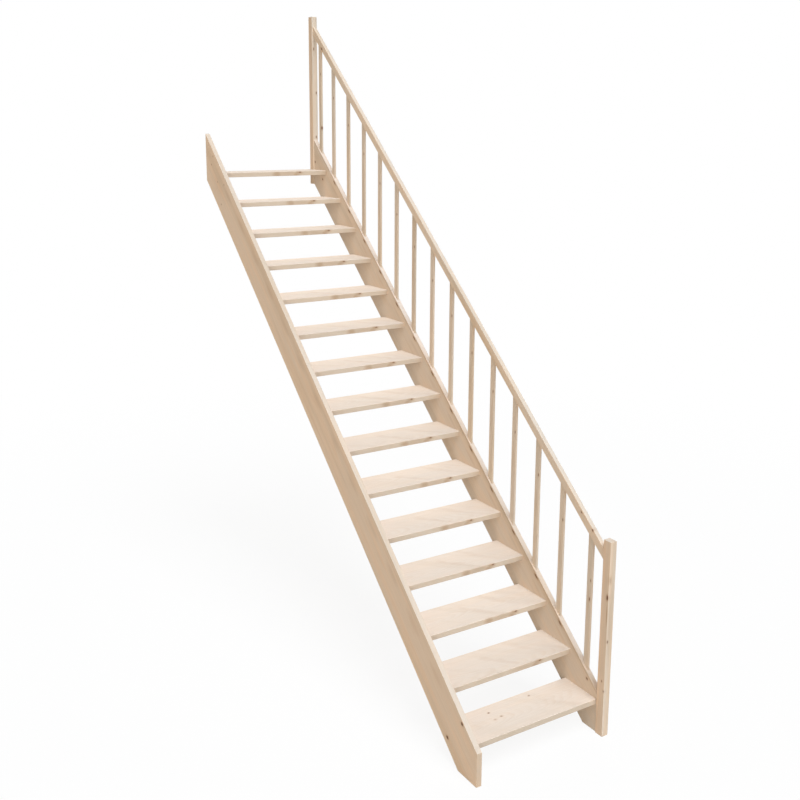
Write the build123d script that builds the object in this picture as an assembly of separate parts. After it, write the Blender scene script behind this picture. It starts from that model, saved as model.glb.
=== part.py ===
from build123d import *
import os

os.makedirs("parts", exist_ok=True)

# Straight open-riser wooden stair with a balustrade on its right side, in millimetres.
# +X points right seen from the foot, +Y up the flight, +Z up.
# The origin is the centre of the bottom newel's foot, on the floor.

# Flight: equal rises and goings, one plain board for each tread
RISE = 187.5
GOING = 214.0
TREAD_COUNT = 15
TREAD_DEPTH = 246.0
TREAD_THICK = 30.0
CLEAR_WIDTH = 785.0
HOUSING_DEPTH = 10.0
NOSE_RADIUS = 2.5

# Stringers: heights are plumb, from the line through the tread noses
STRINGER_THICK = 30.0
STRINGER_ABOVE = 45.0
STRINGER_BELOW = 274.0
STRINGER_EASE = 1.5

# Newel posts, with the bottom one centred on the origin
NEWEL_X = 41.0
NEWEL_Y = 53.0
BOTTOM_NEWEL_TOP = 1086.0
TOP_NEWEL_TOP = 3893.0
NEWEL_EASE = 3.0
FIRST_NOSE_BEHIND_NEWEL = 6.0

# Handrail: height is plumb from the nosing line to its top, section is square to its length
RAIL_ABOVE = 843.0
RAIL_WIDTH = 26.0
RAIL_DEPTH = 45.0
RAIL_EASE = 3.0

# Balusters: one over each tread, the first and the last a little nearer the nose
BALUSTER_X = 11.0
BALUSTER_Y = 37.0
BALUSTER_FROM_NOSE = 123.0
END_BALUSTER_FROM_NOSE = 102.0
BALUSTER_EASE = 1.0

# Places that follow from the sizes above
SLOPE = RISE / GOING
FIRST_NOSE_Y = NEWEL_Y / 2 + FIRST_NOSE_BEHIND_NEWEL
FOOT_Y = -NEWEL_Y / 2
END_Y = FIRST_NOSE_Y + (TREAD_COUNT - 1) * GOING + TREAD_DEPTH
TOP_NEWEL_FRONT = END_Y - NEWEL_Y
RIGHT_INNER = -STRINGER_THICK / 2
LEFT_INNER = RIGHT_INNER - CLEAR_WIDTH
RAIL_PLUMB = RAIL_DEPTH * (1 + SLOPE ** 2) ** 0.5


def nosing(y, offset):
    """Height at y of the line through the tread noses, moved up by offset."""
    return RISE + SLOPE * (y - FIRST_NOSE_Y) + offset


def y_at_floor(offset):
    """Where a line parallel to the nosing line meets the floor."""
    return FIRST_NOSE_Y - (RISE + offset) / SLOPE


def prism(corners, x_low, x_high):
    """Solid between two x planes, from its (y, z) corners."""
    face = Plane.YZ.offset(x_low) * make_face(Polyline(*corners, close=True))
    return extrude(face, x_high - x_low, dir=(1, 0, 0))


def block(x_low, x_high, y_low, y_high, z_low, z_high):
    """Square-cornered solid between six planes."""
    corners = [(y_low, z_low), (y_high, z_low), (y_high, z_high), (y_low, z_high)]
    return prism(corners, x_low, x_high)


def tread(number):
    """Tread board with a rounded nose, long enough to sit in both housings."""
    nose = FIRST_NOSE_Y + (number - 1) * GOING
    top = number * RISE
    board = block(
        LEFT_INNER - HOUSING_DEPTH,
        RIGHT_INNER + HOUSING_DEPTH,
        nose,
        nose + TREAD_DEPTH,
        top - TREAD_THICK,
        top,
    )
    front_edges = board.edges().filter_by(Axis.X).group_by(Axis.Y)[0]
    return fillet(front_edges, NOSE_RADIUS)


def stringer(x_low, start_y, end_y, boards):
    """Sloping board with a plumb cut at each end, a level seat and a housing for each tread."""
    corners = [
        (start_y, 0),
        (y_at_floor(-STRINGER_BELOW), 0),
        (end_y, nosing(end_y, -STRINGER_BELOW)),
        (end_y, nosing(end_y, STRINGER_ABOVE)),
        (start_y, nosing(start_y, STRINGER_ABOVE)),
    ]
    board = prism(corners, x_low, x_low + STRINGER_THICK)
    long_edges = board.edges().filter_by(lambda edge: edge.length > CLEAR_WIDTH)
    board = fillet(long_edges, STRINGER_EASE)
    for other in boards:
        board = board - other
    return board


def newel(front_y, foot_z, top_z):
    """Square-cut post with its corners and its top edges rounded."""
    post = block(-NEWEL_X / 2, NEWEL_X / 2, front_y, front_y + NEWEL_Y, foot_z, top_z)
    uprights = post.edges().filter_by(Axis.Z)
    top_edges = post.edges().group_by(Axis.Z)[-1]
    return fillet(uprights + top_edges, NEWEL_EASE)


def handrail(start_y, end_y):
    """Sloping rail cut plumb between the newels."""
    corners = [
        (start_y, nosing(start_y, RAIL_ABOVE - RAIL_PLUMB)),
        (end_y, nosing(end_y, RAIL_ABOVE - RAIL_PLUMB)),
        (end_y, nosing(end_y, RAIL_ABOVE)),
        (start_y, nosing(start_y, RAIL_ABOVE)),
    ]
    rail = prism(corners, -RAIL_WIDTH / 2, RAIL_WIDTH / 2)
    long_edges = rail.edges().filter_by(lambda edge: edge.length > CLEAR_WIDTH)
    return fillet(long_edges, RAIL_EASE)


def baluster(number):
    """Flat upright cut to the slope at both ends, between stringer and handrail."""
    at_end = number in (1, TREAD_COUNT)
    from_nose = END_BALUSTER_FROM_NOSE if at_end else BALUSTER_FROM_NOSE
    middle = FIRST_NOSE_Y + (number - 1) * GOING + from_nose
    front = middle - BALUSTER_Y / 2
    back = middle + BALUSTER_Y / 2
    corners = [
        (front, nosing(front, STRINGER_ABOVE)),
        (back, nosing(back, STRINGER_ABOVE)),
        (back, nosing(back, RAIL_ABOVE - RAIL_PLUMB)),
        (front, nosing(front, RAIL_ABOVE - RAIL_PLUMB)),
    ]
    slat = prism(corners, -BALUSTER_X / 2, BALUSTER_X / 2)
    return fillet(slat.edges().filter_by(Axis.Z), BALUSTER_EASE)


treads = [tread(number) for number in range(1, TREAD_COUNT + 1)]

# The top tread is notched around the newel that stands beside its back corner
newel_corner = block(
    -NEWEL_X / 2, NEWEL_X / 2, TOP_NEWEL_FRONT, END_Y, 0, TOP_NEWEL_TOP
)
treads[-1] = treads[-1] - newel_corner

pieces = {
    "stringer_left": stringer(LEFT_INNER - STRINGER_THICK, FOOT_Y, END_Y, treads),
    "stringer_right": stringer(RIGHT_INNER, NEWEL_Y / 2, TOP_NEWEL_FRONT, treads),
    "newel_bottom": newel(FOOT_Y, 0, BOTTOM_NEWEL_TOP),
    "newel_top": newel(TOP_NEWEL_FRONT, nosing(TOP_NEWEL_FRONT, -STRINGER_BELOW), TOP_NEWEL_TOP),
    "handrail": handrail(NEWEL_Y / 2, TOP_NEWEL_FRONT),
}
for number, board in enumerate(treads, start=1):
    pieces[f"tread_{number:02d}"] = board
    pieces[f"baluster_{number:02d}"] = baluster(number)

for name, shape in pieces.items():
    solid = shape.solids()[0]
    solid.label = name
    export_step(solid, f"parts/{name}.step")
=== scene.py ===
import math
from dataclasses import dataclass

import bpy
from mathutils import Matrix, Vector


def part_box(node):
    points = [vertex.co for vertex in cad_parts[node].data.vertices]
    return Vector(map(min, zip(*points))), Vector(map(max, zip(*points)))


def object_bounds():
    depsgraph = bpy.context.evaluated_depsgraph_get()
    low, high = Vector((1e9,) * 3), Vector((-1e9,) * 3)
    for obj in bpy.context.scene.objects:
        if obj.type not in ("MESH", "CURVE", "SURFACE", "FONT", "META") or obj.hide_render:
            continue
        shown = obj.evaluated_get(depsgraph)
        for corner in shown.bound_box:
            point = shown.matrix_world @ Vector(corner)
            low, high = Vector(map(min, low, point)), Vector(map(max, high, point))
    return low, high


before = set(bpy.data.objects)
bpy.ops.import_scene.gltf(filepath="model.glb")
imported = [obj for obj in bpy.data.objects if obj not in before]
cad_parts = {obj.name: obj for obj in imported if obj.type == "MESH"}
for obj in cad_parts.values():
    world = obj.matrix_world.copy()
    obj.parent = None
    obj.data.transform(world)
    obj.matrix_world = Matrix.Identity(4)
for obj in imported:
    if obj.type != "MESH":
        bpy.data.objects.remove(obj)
cad_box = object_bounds()

# Camera of the photograph: metres, degrees, millimetres for the lens and its sensor, and shifts in
# widths of that sensor
CAMERA_PLACE = (-3.4623, -3.5605, 3.1598)
CAMERA_AZIMUTH = 31.295
CAMERA_DOWN = 11.573
CAMERA_ROLL = -0.163
CAMERA_LENS = 45.84
CAMERA_SENSOR = 36.0
CAMERA_SHIFT = (0.00984, -0.0873)

# Studio light: a dim warm world that looks white, a soft key high in front, a low fill from the left and
# one from behind on the right, with the directions that they come from and their widths in degrees
WORLD_STRENGTH = 0.15
WORLD_TINT = (1.09, 1.0, 0.87)
WORLD_SEEN = (1.0, 1.0, 1.0)
KEY_STRENGTH = 2.66
KEY_TINT = (0.94, 0.98, 1.03)
KEY_FROM = (-0.06, -0.47, 0.88)
KEY_ANGLE = 38.0
FILL_STRENGTH = 0.85
FILL_TINT = (1.07, 1.03, 0.93)
FILL_FROM = (-0.80, -0.58, 0.15)
FILL_ANGLE = 40.0
BACK_STRENGTH = 1.1
BACK_FROM = (0.69, 0.69, 0.14)

# Floor: its size in metres, the colour of its bounced light, how pale it looks, how much of the shadow
# shows on it, and the distances between which it fades to white
FLOOR_RADIUS = 60.0
FLOOR_SIDES = 96
FLOOR_BOUNCE = (0.605, 0.59, 0.57)
FLOOR_SEEN = (0.93, 0.93, 0.93)
FLOOR_SHADOW = 0.1
FLOOR_FADE = (3.0, 7.0)

# Planed spruce, linear colours: the two hues it runs between, the tints that multiply them, and a
# knot's own two colours
WARM = (0.945, 0.715, 0.515)
PALE = (0.840, 0.715, 0.590)
LATE_WOOD = (0.82, 0.70, 0.57)
HEARTWOOD = (0.84, 0.80, 0.73)
FIBRE_SHADE = (0.91, 0.90, 0.88)
STAINED = (0.76, 0.65, 0.55)
RUBBED = (1.02, 1.03, 1.04)
END_GRAIN = (0.73, 0.78, 0.81)
KNOT_BROWN = (0.15, 0.07, 0.04)
KNOT_RIM = (0.48, 0.27, 0.16)

# Change from board to board: step of the noise seed, spread of the shade and how fast it swings
SEED_STEP = 1.7
SHADE_SPREAD = 0.015
SHADE_RATE = 3.0

# Grain: metres between growth rings, metres that they wander, strength of the weakest ring, and changes
# of each noise per metre along, across and through the board
RING_SPACING = 0.0048
RING_WANDER = 0.05
RING_WEAKEST = 0.35
WANDER_STRETCH = (0.9, 6.0, 6.0)
UNEVEN_STRETCH = (1.3, 28.0, 28.0)
STREAK_STRETCH = (0.5, 14.0, 14.0)
FIBRE_STRETCH = (7.0, 900.0, 900.0)
HUE_ALONG = 2.0
HUE_SEED = 7.3

# Values between which a mark of the grain appears: within one ring, then of a noise
LATE_RISE = (0.25, 0.85)
LATE_FALL = (0.9, 1.0)
STREAK_RISE = (0.46, 0.68)
HUE_RISE = (0.38, 0.62)
FIBRE_RISE = (0.3, 0.75)

# Knots: distances from the middle, in reaches, between which each part fades, strength of the rim beside
# the core's, and the noises that make outlines ragged and arched streaks blotchy
CORE_FADE = (0.45, 0.95)
RIM_FADE = (0.8, 1.5)
STAIN_FADE = (0.3, 2.5)
PUSH_FADE = (0.6, 4.0)
RIM_STRENGTH = 0.6
RAGGED_SWING = 0.7
RAGGED_STRETCH = (90.0, 160.0, 160.0)
RAGGED_SEED = 3.1
BLOTCHY_SWING = 6.0
BLOTCHY_STRETCH = (12.0, 22.0, 22.0)
BLOTCHY_SEED = 5.7

# Faces and edges: cosines between which a face counts as facing a way, as an end or as a rubbed edge,
# the metres that the rubbing reaches, and the rays that look for it
FACING = (0.35, 0.7)
END_FACING = (0.55, 0.9)
RUBBED_FACING = (0.985, 0.86)
RUBBED_WIDTH = 0.004
RUBBED_SAMPLES = 4

# Gloss and relief: roughness and its changes on late wood and end grain, shine, how deep the fibres lie
# beside the late wood, and the bump, whose height is in metres
ROUGHNESS = 0.8
LATE_SMOOTHER = -0.08
END_ROUGHER = 0.15
SPECULAR = 0.06
FIBRE_DEPTH = -0.6
BUMP_STRENGTH = 0.25
BUMP_HEIGHT = 0.0004

# Kinds of board: strength of the growth rings, brown streaks and change of hue, hues per metre across
# the grain, slant of the streaks, and lean of the grain to the board's face
TREAD_WOOD = {
    "rings": 0.2,
    "streaks": 0.2,
    "hue": 0.12,
    "hue_scale": 16.0,
    "slant": 0.85,
    "lean": 0.07,
}
PLANK_WOOD = {
    "rings": 0.15,
    "streaks": 0.5,
    "hue": 0.3,
    "hue_scale": 24.0,
    "slant": 0.0,
    "lean": 0.015,
}
POST_WOOD = {
    "rings": 0.3,
    "streaks": 0.75,
    "hue": 0.4,
    "hue_scale": 42.0,
    "slant": 0.0,
    "lean": 0.01,
}

# Tints of single boards, which differ a little as sawn timber does, and painted light: paler tints
# for the newels' front faces and for faces that look up, standing in for the light that falls on them
LEFT_STRINGER_TINT = (1.075, 1.015, 0.97)
RIGHT_STRINGER_TINT = (0.90, 0.915, 0.94)
TREAD_TINT = (0.86, 0.92, 0.98)
BOTTOM_NEWEL_TINT = (1.03, 0.99, 0.965)
BOTTOM_NEWEL_PAINTED_FRONT_LIGHT = (1.03, 1.08, 1.145)
TOP_NEWEL_TINT = (0.95, 0.89, 0.845)
TOP_NEWEL_PAINTED_FRONT_LIGHT = (0.99, 1.07, 1.16)
BALUSTER_TINT = (0.945, 0.985, 1.03)
RAIL_TINT = (1.01, 1.01, 1.02)
LEVEL_PAINTED_TOP_LIGHT = (0.985, 1.085, 1.235)
LEFT_STRINGER_PAINTED_TOP_LIGHT = (0.915, 0.985, 1.08)
# Painted light: the right stringer's upward faces are paler still, to make up for the shade that the
# balusters and the rail throw on its top edge
RIGHT_STRINGER_PAINTED_TOP_LIGHT = (0.975, 1.05, 1.19)
RAIL_PAINTED_TOP_LIGHT = (0.89, 0.975, 1.08)

# Middle of the growth rings in a board's own directions, in metres; it swings across from tread to tread
STRINGER_PITH = (0.0, -0.06, 0.09)
POST_PITH = (0.0, 0.05, 0.06)
RAIL_PITH = (0.0, 0.04, 0.05)
TREAD_PITH = (0.0, 0.09, -0.10)
TREAD_PITH_SWING = 0.05
TREAD_PITH_RATE = 2.4

# Arched streaks on the tread tops: metres behind the nose where an arch starts, its slope and its curve,
# its reach, and how far it shifts from tread to tread
ARCH_BACK = 0.204
ARCH_SLOPE = 0.45
ARCH_CURVE = 2.4
ARCH_REACH = (0.016, 0.075, 0.03)
ARCH_SHIFT = 0.012
ARCH_SHIFT_RATE = 5.0


@dataclass
class Knot:
    """A knot: its place and its reach along, across and through the board, in metres, how dark its core
    is, how brown the wood round it is, and whether it bends into an arch over a tread."""

    place: tuple
    reach: tuple
    core: float = 1.0
    stain: float = 0.5
    arched: bool = False


def streak(place, reach, stain, arched=False):
    """A brown streak, which is a knot's stain with no knot in it."""
    return Knot(place, reach, core=0.0, stain=stain, arched=arched)


@dataclass
class Board:
    """A board: its node, kind and tints, with the painted light on its upward and front faces, its
    origin, the directions along and across its grain, the middle of its growth rings and its knots."""

    node: str
    timber: dict
    tint: tuple
    painted_top_light: tuple
    origin: Vector
    along: Vector
    across: Vector
    pith: tuple
    knots: list
    front: tuple = None

    def turn(self):
        """Turn from the frame's axes to the board's own."""
        through = self.along.cross(self.across)
        return Matrix((self.along, self.across, through)).transposed().to_euler()


class Nodes:
    """Adds nodes to one node tree and hands back their output sockets."""

    def __init__(self, tree):
        self.tree = tree

    def add(self, kind, **settings):
        """New node with the given settings."""
        node = self.tree.nodes.new(kind)
        for key, value in settings.items():
            setattr(node, key, value)
        return node

    def feed(self, socket, value):
        """Links an output to a socket, or sets a plain value on it."""
        if isinstance(value, bpy.types.NodeSocket):
            self.tree.links.new(value, socket)
        else:
            socket.default_value = value

    def math(self, operation, *values):
        """Result of a number operation."""
        node = self.add("ShaderNodeMath", operation=operation)
        for socket, value in zip(node.inputs, values):
            self.feed(socket, value)
        return node.outputs["Value"]

    def vector(self, operation, *values):
        """Result of a vector operation, which is a number for a length or a dot product."""
        node = self.add("ShaderNodeVectorMath", operation=operation)
        for socket, value in zip(node.inputs, values):
            self.feed(socket, value)
        plain = operation in ("LENGTH", "DOT_PRODUCT")
        return node.outputs["Value" if plain else "Vector"]

    def split(self, vector):
        """The X, Y and Z of a vector."""
        node = self.add("ShaderNodeSeparateXYZ")
        self.feed(node.inputs["Vector"], vector)
        return node.outputs

    def noise(self, point, stretch, shift, detail=2.0):
        """Noise over a point scaled by stretch; each shift gives another pattern."""
        node = self.add("ShaderNodeTexNoise", noise_dimensions="4D")
        self.feed(node.inputs["Vector"], self.vector("MULTIPLY", point, stretch))
        self.feed(node.inputs["W"], shift)
        self.feed(node.inputs["Scale"], 1.0)
        self.feed(node.inputs["Detail"], detail)
        return node.outputs

    def ramp(self, value, low, high, start=0.0, end=1.0):
        """Smooth step of a value from low to high, given out from start to end."""
        node = self.add("ShaderNodeMapRange", interpolation_type="SMOOTHSTEP")
        for name, number in (
            ("Value", value),
            ("From Min", low),
            ("From Max", high),
            ("To Min", start),
            ("To Max", end),
        ):
            self.feed(node.inputs[name], number)
        return node.outputs["Result"]

    def fade(self, value, low, high):
        """Smooth step of a value down from 1 at low to 0 at high."""
        return self.ramp(value, low, high, start=1.0, end=0.0)

    def mix(self, factor, first, second, blend="MIX"):
        """Colour mix; plain colours are given as three numbers."""
        node = self.add("ShaderNodeMix", data_type="RGBA", blend_type=blend)
        self.feed(node.inputs["Factor"], factor)
        for name, colour in (("A", first), ("B", second)):
            socket = [s for s in node.inputs if s.name == name and s.type == "RGBA"][0]
            if not isinstance(colour, bpy.types.NodeSocket):
                colour = (*colour, 1.0)
            self.feed(socket, colour)
        return [s for s in node.outputs if s.type == "RGBA"][0]

    def group(self, tree, values):
        """Outputs of a node group with the given inputs."""
        node = self.add("ShaderNodeGroup", node_tree=tree)
        for name, value in values.items():
            self.feed(node.inputs[name], value)
        return node.outputs


def new_group(name, inputs, outputs):
    """Empty node group; returns its tree, its nodes helper and the sockets it is given and gives out."""
    tree = bpy.data.node_groups.new(name, "ShaderNodeTree")
    kinds = {"vector": "NodeSocketVector", "float": "NodeSocketFloat"}
    for socket, kind in inputs.items():
        tree.interface.new_socket(socket, in_out="INPUT", socket_type=kinds[kind])
    for socket, kind in outputs.items():
        tree.interface.new_socket(socket, in_out="OUTPUT", socket_type=kinds[kind])
    nodes = Nodes(tree)
    return tree, nodes, nodes.add("NodeGroupInput").outputs, nodes.add("NodeGroupOutput").inputs


def grain_group():
    """Growth rings, broad streaks, hue and fibres of a board whose grain runs along the point's x."""
    tree, nodes, given, result = new_group(
        "softwood_grain",
        {
            "Point": "vector",
            "Pith": "vector",
            "Lean": "float",
            "Slant": "float",
            "Seed": "float",
            "Bend": "float",
            "Hue Stretch": "vector",
        },
        {"Late": "float", "Streak": "float", "Hue": "float", "Fibre": "float"},
    )
    point = given["Point"]
    seed = given["Seed"]
    along = nodes.split(point)["X"]
    wander = nodes.noise(point, WANDER_STRETCH, seed)["Color"]
    wander = nodes.vector("SUBTRACT", wander, (0.5, 0.5, 0.5))
    wander = nodes.vector("MULTIPLY", wander, (0.0, RING_WANDER, RING_WANDER))
    wandered = nodes.vector("ADD", point, wander)

    around = nodes.split(nodes.vector("SUBTRACT", wandered, given["Pith"]))
    depth = nodes.math("MULTIPLY_ADD", along, given["Lean"], around["Z"])
    squares = nodes.math("MULTIPLY", around["Y"], around["Y"])
    squares = nodes.math("MULTIPLY_ADD", depth, depth, squares)
    radius = nodes.math("ADD", nodes.math("SQRT", squares), given["Bend"])
    uneven = nodes.noise(point, UNEVEN_STRETCH, seed)["Fac"]
    phase = nodes.math("MULTIPLY_ADD", radius, 1.0 / RING_SPACING, uneven)
    saw = nodes.math("FRACT", phase)
    year = nodes.add("ShaderNodeTexWhiteNoise", noise_dimensions="1D")
    nodes.feed(year.inputs["W"], nodes.math("FLOOR", phase))
    year_strength = nodes.ramp(year.outputs["Value"], 0.0, 1.0, RING_WEAKEST, 1.0)
    late = nodes.math("MULTIPLY", nodes.ramp(saw, *LATE_RISE), nodes.fade(saw, *LATE_FALL))
    nodes.feed(result["Late"], nodes.math("MULTIPLY", late, year_strength))

    sheared = nodes.add("ShaderNodeCombineXYZ")
    parts = nodes.split(wandered)
    nodes.feed(sheared.inputs["X"], along)
    nodes.feed(sheared.inputs["Y"], nodes.math("MULTIPLY_ADD", along, given["Slant"], parts["Y"]))
    nodes.feed(sheared.inputs["Z"], parts["Z"])
    streaks = nodes.noise(sheared.outputs["Vector"], STREAK_STRETCH, seed, detail=2.5)["Fac"]
    nodes.feed(result["Streak"], nodes.ramp(streaks, *STREAK_RISE))
    hue = nodes.noise(point, given["Hue Stretch"], nodes.math("ADD", seed, HUE_SEED))["Fac"]
    nodes.feed(result["Hue"], nodes.ramp(hue, *HUE_RISE))
    fibre = nodes.noise(point, FIBRE_STRETCH, seed, detail=3.0)["Fac"]
    nodes.feed(result["Fibre"], nodes.ramp(fibre, *FIBRE_RISE))
    return tree


def knot_group():
    """One knot: dark core, paler rim, brown stain round it, and how far it pushes the rings aside."""
    tree, nodes, given, result = new_group(
        "knot",
        {"Point": "vector", "Centre": "vector", "Reach": "vector", "Ragged": "float"},
        {"Core": "float", "Rim": "float", "Stain": "float", "Push": "float"},
    )
    away = nodes.vector("SUBTRACT", given["Point"], given["Centre"])
    away = nodes.vector("LENGTH", nodes.vector("DIVIDE", away, given["Reach"]))
    rough_away = nodes.math("MULTIPLY_ADD", given["Ragged"], RAGGED_SWING, away)
    nodes.feed(result["Core"], nodes.fade(rough_away, *CORE_FADE))
    nodes.feed(result["Rim"], nodes.fade(rough_away, *RIM_FADE))
    nodes.feed(result["Stain"], nodes.fade(rough_away, *STAIN_FADE))
    nodes.feed(result["Push"], nodes.fade(away, *PUSH_FADE))
    return tree


GRAIN = grain_group()
KNOT = knot_group()


def ragged_noise(nodes, point):
    """Fine noise about zero that makes a knot's outline ragged."""
    noise = nodes.noise(point, RAGGED_STRETCH, RAGGED_SEED)["Fac"]
    return nodes.math("SUBTRACT", noise, 0.5)


def blotchy_noise(nodes, point):
    """Broad noise about zero that breaks an arched streak into blotches."""
    noise = nodes.noise(point, BLOTCHY_STRETCH, BLOTCHY_SEED)["Fac"]
    return nodes.math("MULTIPLY_ADD", noise, BLOTCHY_SWING, -BLOTCHY_SWING / 2)


def arched_point(nodes, point):
    """Point moved along the grain so that a mark straight across a tread becomes an arch."""
    forward = nodes.math("SUBTRACT", ARCH_BACK, nodes.split(point)["Y"])
    slope = nodes.math("MULTIPLY_ADD", forward, ARCH_CURVE, ARCH_SLOPE)
    shift = nodes.add("ShaderNodeCombineXYZ")
    nodes.feed(shift.inputs["X"], nodes.math("MULTIPLY", forward, slope))
    return nodes.vector("SUBTRACT", point, shift.outputs["Vector"])


def knot_marks(nodes, point, knots):
    """Core, rim, stain and ring push of all the knots of a board."""
    core, rim, stain, push = 0.0, 0.0, 0.0, 0.0
    straight = {"Point": point, "Ragged": ragged_noise(nodes, point)}
    arched = straight
    if any(knot.arched for knot in knots):
        arched = {"Point": arched_point(nodes, point), "Ragged": blotchy_noise(nodes, point)}
    for knot in knots:
        course = arched if knot.arched else straight
        spot = nodes.group(KNOT, {**course, "Centre": knot.place, "Reach": knot.reach})
        stain = nodes.math("MAXIMUM", stain, nodes.math("MULTIPLY", spot["Stain"], knot.stain))
        if knot.core > 0.0:
            rim_strength = knot.core * RIM_STRENGTH
            core = nodes.math("MAXIMUM", core, nodes.math("MULTIPLY", spot["Core"], knot.core))
            rim = nodes.math("MAXIMUM", rim, nodes.math("MULTIPLY", spot["Rim"], rim_strength))
            push = nodes.math("MULTIPLY_ADD", spot["Push"], knot.reach[1], push)
    return core, rim, stain, push


def wood(board, seed):
    """Procedural softwood for one board, with its rings, streaks, knots, end grain and rubbed edges."""
    material = bpy.data.materials.new(f"wood_{board.node}")
    material.use_nodes = True
    nodes = Nodes(material.node_tree)
    shader = material.node_tree.nodes["Principled BSDF"]
    timber = board.timber
    place = nodes.add("ShaderNodeMapping", vector_type="TEXTURE")
    nodes.feed(place.inputs["Vector"], nodes.add("ShaderNodeTexCoord").outputs["Object"])
    nodes.feed(place.inputs["Location"], board.origin)
    nodes.feed(place.inputs["Rotation"], board.turn())
    point = place.outputs["Vector"]
    core, rim, stain, push = knot_marks(nodes, point, board.knots)
    grain = nodes.group(
        GRAIN,
        {
            "Point": point,
            "Pith": board.pith,
            "Lean": timber["lean"],
            "Slant": timber["slant"],
            "Seed": seed,
            "Bend": push,
            "Hue Stretch": (HUE_ALONG, timber["hue_scale"], timber["hue_scale"]),
        },
    )

    normal = nodes.add("ShaderNodeNewGeometry").outputs["Normal"]
    facing = nodes.split(normal)
    upward = nodes.ramp(facing["Z"], *FACING)
    rounded = nodes.add("ShaderNodeBevel", samples=RUBBED_SAMPLES)
    nodes.feed(rounded.inputs["Radius"], RUBBED_WIDTH)
    flatness = nodes.vector("DOT_PRODUCT", rounded.outputs["Normal"], normal)
    rubbed = nodes.ramp(flatness, *RUBBED_FACING)
    endways = nodes.vector("DOT_PRODUCT", normal, tuple(board.along))
    endways = nodes.ramp(nodes.math("ABSOLUTE", endways), *END_FACING)
    raw_end = nodes.math("MULTIPLY", endways, nodes.math("SUBTRACT", 1.0, upward))

    shade = 1.0 + SHADE_SPREAD * math.sin(SHADE_RATE * seed)
    hue = nodes.math("MULTIPLY_ADD", grain["Hue"], timber["hue"], 0.5 - timber["hue"] / 2)
    colour = nodes.mix(hue, [part * shade for part in WARM], [part * shade for part in PALE])
    tint = board.tint
    # Painted light: faces that look to the front take a paler tint that stands in for the light falling
    # on them
    if board.front:
        frontward = nodes.math("MULTIPLY", facing["Y"], -1.0)
        tint = nodes.mix(nodes.ramp(frontward, *FACING), tint, board.front)
    # Painted light: faces that look up take a paler tint that stands in for the light falling on them
    colour = nodes.vector("MULTIPLY", colour, nodes.mix(upward, tint, board.painted_top_light))
    for factor, mark in (
        (nodes.math("MULTIPLY", grain["Late"], timber["rings"]), LATE_WOOD),
        (nodes.math("MULTIPLY", grain["Streak"], timber["streaks"]), HEARTWOOD),
        (grain["Fibre"], FIBRE_SHADE),
        (rubbed, RUBBED),
        (raw_end, END_GRAIN),
        (stain, STAINED),
    ):
        colour = nodes.mix(factor, colour, mark, blend="MULTIPLY")
    colour = nodes.mix(rim, colour, KNOT_RIM)
    colour = nodes.mix(core, colour, KNOT_BROWN)
    nodes.feed(shader.inputs["Base Color"], colour)

    rough = nodes.math("MULTIPLY_ADD", grain["Late"], LATE_SMOOTHER, ROUGHNESS)
    rough = nodes.math("MULTIPLY_ADD", endways, END_ROUGHER, rough)
    nodes.feed(shader.inputs["Roughness"], rough)
    bump = nodes.add("ShaderNodeBump")
    height = nodes.math("MULTIPLY_ADD", grain["Fibre"], FIBRE_DEPTH, grain["Late"])
    nodes.feed(bump.inputs["Height"], height)
    nodes.feed(bump.inputs["Strength"], BUMP_STRENGTH)
    nodes.feed(bump.inputs["Distance"], BUMP_HEIGHT)
    nodes.feed(shader.inputs["Normal"], bump.outputs["Normal"])
    shader.inputs["Specular IOR Level"].default_value = SPECULAR
    return material


def middle(node):
    """Middle of a node's box."""
    low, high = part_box(node)
    return (low + high) / 2


def half_size(node):
    """Half of a node's box each way."""
    low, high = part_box(node)
    return (high - low) / 2


# The flight's own directions, from the noses of the first two treads, and the frame's
FIRST_NOSE = Vector((0.0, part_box("tread_01")[0].y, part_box("tread_01")[1].z))
STEP = Vector((0.0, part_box("tread_02")[0].y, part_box("tread_02")[1].z)) - FIRST_NOSE
PITCH = STEP.length
UP_SLOPE = STEP.normalized()
OFF_SLOPE = Vector((0.0, -UP_SLOPE.z, UP_SLOPE.y))
EAST = Vector((1.0, 0.0, 0.0))
NORTH = Vector((0.0, 1.0, 0.0))
UP = Vector((0.0, 0.0, 1.0))

# Treads, and the steps from the second tread to the last, over which the stringers' marks come back
TREAD_COUNT = sum(node.startswith("tread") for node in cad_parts)
MARKED_STEPS = TREAD_COUNT - 2

# Marks seen in the photograph, in metres. On a stringer they lie along it from the first nose and off
# the nosing line, and those of a step come back once for each pitch
LEFT_FOOT_KNOTS = ((0.107, 0.019), (0.107, -0.169))
LEFT_TOP_KNOTS = ((3.982, -0.080), (3.840, -0.155), (4.132, -0.060), (3.885, -0.015), (4.145, 0.003))
LEFT_TOP_STREAK = (3.945, -0.08)
LEFT_STEP_STREAK = (0.38, -0.026)
RIGHT_KNOTS = ((0.110, 0.008), (3.985, -0.088), (4.150, -0.073))
RIGHT_LONG_STREAK = (2.1, 0.026)
RIGHT_STEP_KNOT = (0.425, 0.020)
RIGHT_STEP_STREAK = (0.385, -0.023)

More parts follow.
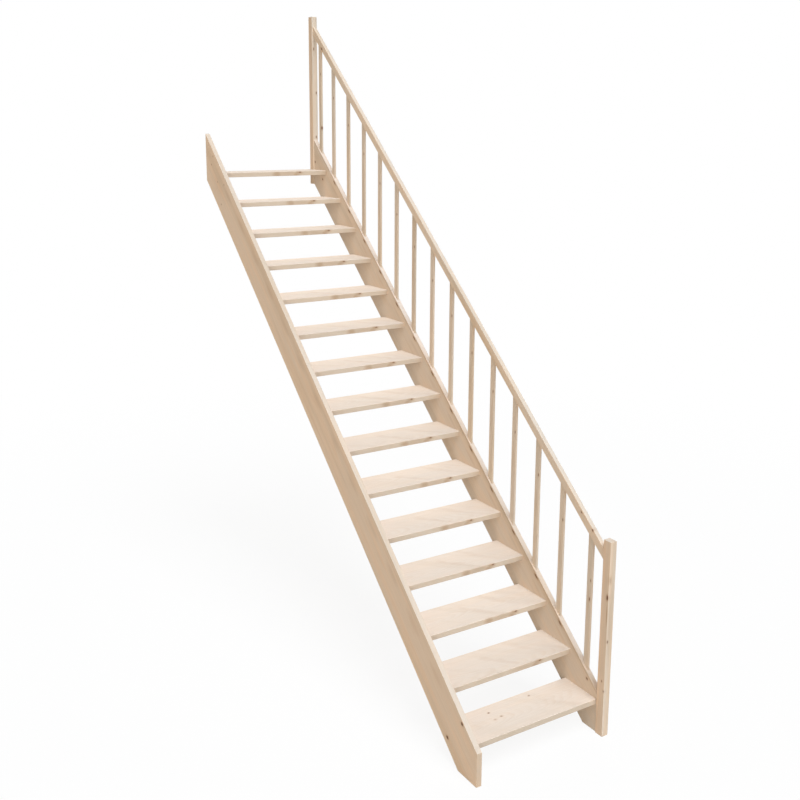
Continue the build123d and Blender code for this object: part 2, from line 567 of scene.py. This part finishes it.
# On a tread they lie along it from its left end, behind its nose and over its top: the first tread's
# knots, with the strength of their cores, and its arch, then the marks on the front edges of the others,
# one of them only from the third tread up, and the arches on their tops
FIRST_TREAD_KNOTS = (
    (0.231, 0.187, 0.7),
    (0.270, 0.130, 0.35),
    (0.226, 0.122, 0.15),
    (0.510, 0.207, 0.45),
)
FIRST_TREAD_ARCH = streak((0.52, 0.06, 0.0), ARCH_REACH, stain=0.16, arched=True)
FRONT_EDGE_MARKS = [
    Knot((0.584, 0.0, -0.007), reach=(0.010, 0.006, 0.0045), core=0.7),
    streak((0.573, 0.0, -0.009), reach=(0.018, 0.006, 0.008), stain=0.9),
    streak((0.556, 0.0, -0.022), reach=(0.018, 0.006, 0.008), stain=0.9),
    streak((0.49, 0.0, -0.016), reach=(0.06, 0.005, 0.016), stain=0.4),
    streak((0.81, 0.0, -0.017), reach=(0.034, 0.005, 0.011), stain=0.5),
]
FRONT_EDGE_PATCH = streak((0.405, 0.0, -0.017), reach=(0.020, 0.006, 0.014), stain=0.85)
FIRST_PATCHED_TREAD = 3
LEFT_ARCH = (0.315, 0.10)
RIGHT_ARCH = (0.540, 0.13)

# On a newel's front they lie up it from its foot and to the right of its middle
TOP_NEWEL_KNOTS = ((0.962, -0.0066), (0.655, 0.0098), (0.340, 0.0055))


def stringer_board(node, tint, painted_top_light, knots):
    """A stringer, with its grain up the slope."""
    origin = FIRST_NOSE + EAST * middle(node).x
    return Board(node, PLANK_WOOD, tint, painted_top_light, origin, UP_SLOPE, OFF_SLOPE, STRINGER_PITH, knots)


def left_stringer():
    """Two knots at the foot, small ones and a streak at the top, and a streak over most treads."""
    node = "stringer_left"
    face = -half_size(node).x
    knots = [Knot((*place, face), reach=(0.011, 0.008, 0.03)) for place in LEFT_FOOT_KNOTS]
    for place in LEFT_TOP_KNOTS:
        knots.append(Knot((*place, face), reach=(0.006, 0.005, 0.02), core=0.45))
    knots.append(streak((*LEFT_TOP_STREAK, face), reach=(0.09, 0.04, 0.02), stain=0.2))
    along, across = LEFT_STEP_STREAK
    for count in range(MARKED_STEPS):
        place = (along + PITCH * count, across, face)
        knots.append(streak(place, reach=(0.045, 0.012, 0.015), stain=0.28))
    return stringer_board(node, LEFT_STRINGER_TINT, LEFT_STRINGER_PAINTED_TOP_LIGHT, knots)


def right_stringer():
    """A few round knots, a line under the top edge, and a long knot and a streak over most treads."""
    node = "stringer_right"
    face = -half_size(node).x
    knots = [Knot((*place, face), reach=(0.009, 0.007, 0.03), core=0.7) for place in RIGHT_KNOTS]
    knots.append(streak((*RIGHT_LONG_STREAK, face), reach=(2.4, 0.0035, 0.006), stain=0.55))
    for count in range(MARKED_STEPS):
        along, across = RIGHT_STEP_KNOT
        place = (along + PITCH * count, across, face)
        knots.append(Knot(place, reach=(0.022, 0.006, 0.04), core=0.75, stain=0.6))
        along, across = RIGHT_STEP_STREAK
        place = (along + PITCH * count, across, face)
        knots.append(streak(place, reach=(0.04, 0.006, 0.012), stain=0.25))
    return stringer_board(node, RIGHT_STRINGER_TINT, RIGHT_STRINGER_PAINTED_TOP_LIGHT, knots)


def first_tread_knots():
    """Small knots and one arched streak on the top."""
    knots = [FIRST_TREAD_ARCH]
    for along, across, core in FIRST_TREAD_KNOTS:
        knots.append(Knot((along, across, 0.0), reach=(0.007, 0.005, 0.02), core=core))
    return knots


def tread_knots(number):
    """Marks on the front edge, and two arched streaks on the top that shift from tread to tread."""
    shift = ARCH_SHIFT * math.sin(ARCH_SHIFT_RATE * number)
    along, across = LEFT_ARCH
    left = streak((along + shift, across, 0.0), ARCH_REACH, stain=0.24, arched=True)
    along, across = RIGHT_ARCH
    right = streak((along - shift, across, 0.0), ARCH_REACH, stain=0.18, arched=True)
    knots = [*FRONT_EDGE_MARKS, left, right]
    if number >= FIRST_PATCHED_TREAD:
        knots.append(FRONT_EDGE_PATCH)
    return knots


def tread(number):
    """A tread, with its grain from side to side."""
    node = f"tread_{number:02d}"
    low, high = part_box(node)
    origin = Vector((low.x, low.y, high.z))
    along, across, through = TREAD_PITH
    pith = (along, across + TREAD_PITH_SWING * math.sin(number * TREAD_PITH_RATE), through)
    knots = first_tread_knots() if number == 1 else tread_knots(number)
    return Board(node, TREAD_WOOD, TREAD_TINT, LEVEL_PAINTED_TOP_LIGHT, origin, EAST, NORTH, pith, knots)


def upright_board(node, tint, knots, front=None):
    """A post or a baluster, with its grain upright."""
    centre = middle(node)
    origin = Vector((centre.x, centre.y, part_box(node)[0].z))
    return Board(node, POST_WOOD, tint, LEVEL_PAINTED_TOP_LIGHT, origin, UP, EAST, POST_PITH, knots, front)


def bottom_newel():
    """A dark knot on the front left corner with a streak under it, and smaller ones."""
    node = "newel_bottom"
    half = half_size(node)
    side, front = -half.x, -half.y
    knots = [
        Knot((0.783, side, -0.0175), reach=(0.015, 0.014, 0.006), stain=0.9),
        streak((0.69, side, -0.0195), reach=(0.04, 0.006, 0.003), stain=0.95),
        Knot((0.540, -0.0122, front), reach=(0.010, 0.005, 0.01), core=0.6, stain=0.6),
        Knot((0.879, -0.012, front), reach=(0.018, 0.007, 0.01), core=0.12, stain=0.45),
        streak((0.64, 0.0, front), reach=(0.12, 0.012, 0.006), stain=0.3),
        Knot((0.311, side, -0.006), reach=(0.007, 0.01, 0.004), core=0.5),
        Knot((0.260, side, -0.0215), reach=(0.007, 0.01, 0.004), core=0.5),
    ]
    return upright_board(node, BOTTOM_NEWEL_TINT, knots, BOTTOM_NEWEL_PAINTED_FRONT_LIGHT)


def top_newel():
    """Three knots on the front and a streak on the left side."""
    node = "newel_top"
    half = half_size(node)
    knots = [
        Knot((*place, -half.y), reach=(0.010, 0.004, 0.012), core=0.8) for place in TOP_NEWEL_KNOTS
    ]
    knots.append(streak((1.0, -half.x, -0.005), reach=(0.06, 0.01, 0.006), stain=0.35))
    return upright_board(node, TOP_NEWEL_TINT, knots, TOP_NEWEL_PAINTED_FRONT_LIGHT)


def baluster(number):
    """One knot and a streak on the left side; the first and the last have a knot more."""
    node = f"baluster_{number:02d}"
    side = -half_size(node).x
    knots = [Knot((0.56, side, -0.010), reach=(0.009, 0.02, 0.004), core=0.6, stain=0.6)]
    if number == 1:
        knots = [
            Knot((0.405, side, -0.006), reach=(0.011, 0.02, 0.004), core=0.8, stain=0.7),
            Knot((0.511, side, -0.010), reach=(0.009, 0.02, 0.003), core=0.5, stain=0.6),
        ]
    if number == TREAD_COUNT:
        knots.append(Knot((0.182, side, -0.016), reach=(0.012, 0.02, 0.005), core=0.9, stain=0.7))
    knots.append(streak((0.39, side, 0.003), reach=(0.05, 0.02, 0.004), stain=0.35))
    return upright_board(node, BALUSTER_TINT, knots)


def handrail():
    """The rail, with its grain up the slope, two knots near its foot and one near its top."""
    node = "handrail"
    half = half_size(node)
    side = -half.x
    knots = [
        Knot((0.137, 0.017, side), reach=(0.009, 0.005, 0.02), core=0.9),
        Knot((0.249, 0.010, side), reach=(0.008, 0.004, 0.02), core=0.8),
        Knot((4.06, -0.011, side), reach=(0.014, 0.006, 0.02), core=0.9, stain=0.8),
    ]
    origin = middle(node) - UP_SLOPE * (half.y / UP_SLOPE.y)
    return Board(
        node, POST_WOOD, RAIL_TINT, RAIL_PAINTED_TOP_LIGHT, origin, UP_SLOPE, OFF_SLOPE, RAIL_PITH, knots
    )


def boards():
    """Every board of the stair; their order sets the noise seeds."""
    yield right_stringer()
    yield left_stringer()
    yield bottom_newel()
    yield top_newel()
    yield handrail()
    for number in range(1, TREAD_COUNT + 1):
        yield tread(number)
        yield baluster(number)


def finish_boards():
    """Gives each board a wood of its own."""
    for count, board in enumerate(boards()):
        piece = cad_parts[board.node]
        piece.data.materials.clear()
        piece.data.materials.append(wood(board, SEED_STEP * count))


def seen_ray(nodes):
    """1 where the camera, a mirror or a clear surface looks, 0 where light is gathered."""
    path = nodes.add("ShaderNodeLightPath").outputs
    seen = nodes.math("MAXIMUM", path["Is Camera Ray"], path["Is Glossy Ray"])
    return nodes.math("MAXIMUM", seen, path["Is Transmission Ray"])


def studio_world():
    """White where it is seen, dim and warm where it lights."""
    world = bpy.data.worlds.new("studio")
    world.use_nodes = True
    nodes = Nodes(world.node_tree)
    background = world.node_tree.nodes["Background"]
    seen = seen_ray(nodes)
    nodes.feed(background.inputs["Color"], nodes.mix(seen, WORLD_TINT, WORLD_SEEN))
    strength = nodes.math("MULTIPLY_ADD", seen, 1.0 - WORLD_STRENGTH, WORLD_STRENGTH)
    nodes.feed(background.inputs["Strength"], strength)
    bpy.context.scene.world = world


def studio_sun(name, strength, tint, direction, angle):
    """Soft far lamp whose light comes from a direction."""
    lamp = bpy.data.lights.new(name, "SUN")
    lamp.energy = strength
    lamp.color = tint
    lamp.angle = math.radians(angle)
    sun = bpy.data.objects.new(name, lamp)
    sun.rotation_mode = "QUATERNION"
    sun.rotation_quaternion = Vector(direction).to_track_quat("Z", "Y")
    bpy.context.scene.collection.objects.link(sun)


def floor_material():
    """Matt floor whose own white is mixed in where it is seen, so that only a faint shadow stays."""
    material = bpy.data.materials.new("floor_white")
    material.use_nodes = True
    nodes = Nodes(material.node_tree)
    material.node_tree.nodes.remove(material.node_tree.nodes["Principled BSDF"])
    seen = seen_ray(nodes)
    place = nodes.add("ShaderNodeTexCoord").outputs["Object"]
    far = nodes.ramp(nodes.vector("LENGTH", place), *FLOOR_FADE)
    white_share = nodes.math("MULTIPLY_ADD", far, FLOOR_SHADOW, 1.0 - FLOOR_SHADOW)
    matt = nodes.add("ShaderNodeBsdfDiffuse")
    nodes.feed(matt.inputs["Color"], nodes.mix(seen, FLOOR_BOUNCE, FLOOR_SEEN))
    glow = nodes.add("ShaderNodeEmission")
    both = nodes.add("ShaderNodeMixShader")
    nodes.feed(both.inputs["Fac"], nodes.math("MULTIPLY", seen, white_share))
    nodes.feed(both.inputs[1], matt.outputs["BSDF"])
    nodes.feed(both.inputs[2], glow.outputs["Emission"])
    output = material.node_tree.nodes["Material Output"]
    nodes.feed(output.inputs["Surface"], both.outputs["Shader"])
    return material


def studio_floor():
    """Wide round floor under the stair."""
    centre = (cad_box[0] + cad_box[1]) / 2
    bpy.ops.mesh.primitive_circle_add(
        vertices=FLOOR_SIDES,
        radius=FLOOR_RADIUS,
        fill_type="NGON",
        location=(centre.x, centre.y, cad_box[0].z),
    )
    floor = bpy.context.object
    floor.name = "floor"
    floor.data.materials.append(floor_material())


def photo_camera():
    """Camera at the photograph's place, turned as it was and with its framing."""
    azimuth, down, roll = map(math.radians, (CAMERA_AZIMUTH, CAMERA_DOWN, CAMERA_ROLL))
    forward = Vector(
        (math.sin(azimuth) * math.cos(down), math.cos(azimuth) * math.cos(down), -math.sin(down))
    )
    level_right = forward.cross(UP).normalized()
    level_up = level_right.cross(forward)
    right = level_right * math.cos(roll) - level_up * math.sin(roll)
    up = level_right * math.sin(roll) + level_up * math.cos(roll)
    turn = Matrix((right, up, -forward)).transposed().to_4x4()
    lens = bpy.data.cameras.new("photo_camera")
    lens.lens = CAMERA_LENS
    lens.sensor_width = CAMERA_SENSOR
    lens.shift_x, lens.shift_y = CAMERA_SHIFT
    camera = bpy.data.objects.new("photo_camera", lens)
    camera.matrix_world = Matrix.Translation(CAMERA_PLACE) @ turn
    bpy.context.scene.collection.objects.link(camera)
    bpy.context.scene.camera = camera


finish_boards()
studio_world()
studio_sun("key", KEY_STRENGTH, KEY_TINT, KEY_FROM, KEY_ANGLE)
studio_sun("fill", FILL_STRENGTH, FILL_TINT, FILL_FROM, FILL_ANGLE)
studio_sun("back_fill", BACK_STRENGTH, FILL_TINT, BACK_FROM, FILL_ANGLE)
studio_floor()
photo_camera()
bpy.context.scene.view_settings.view_transform = "Standard"
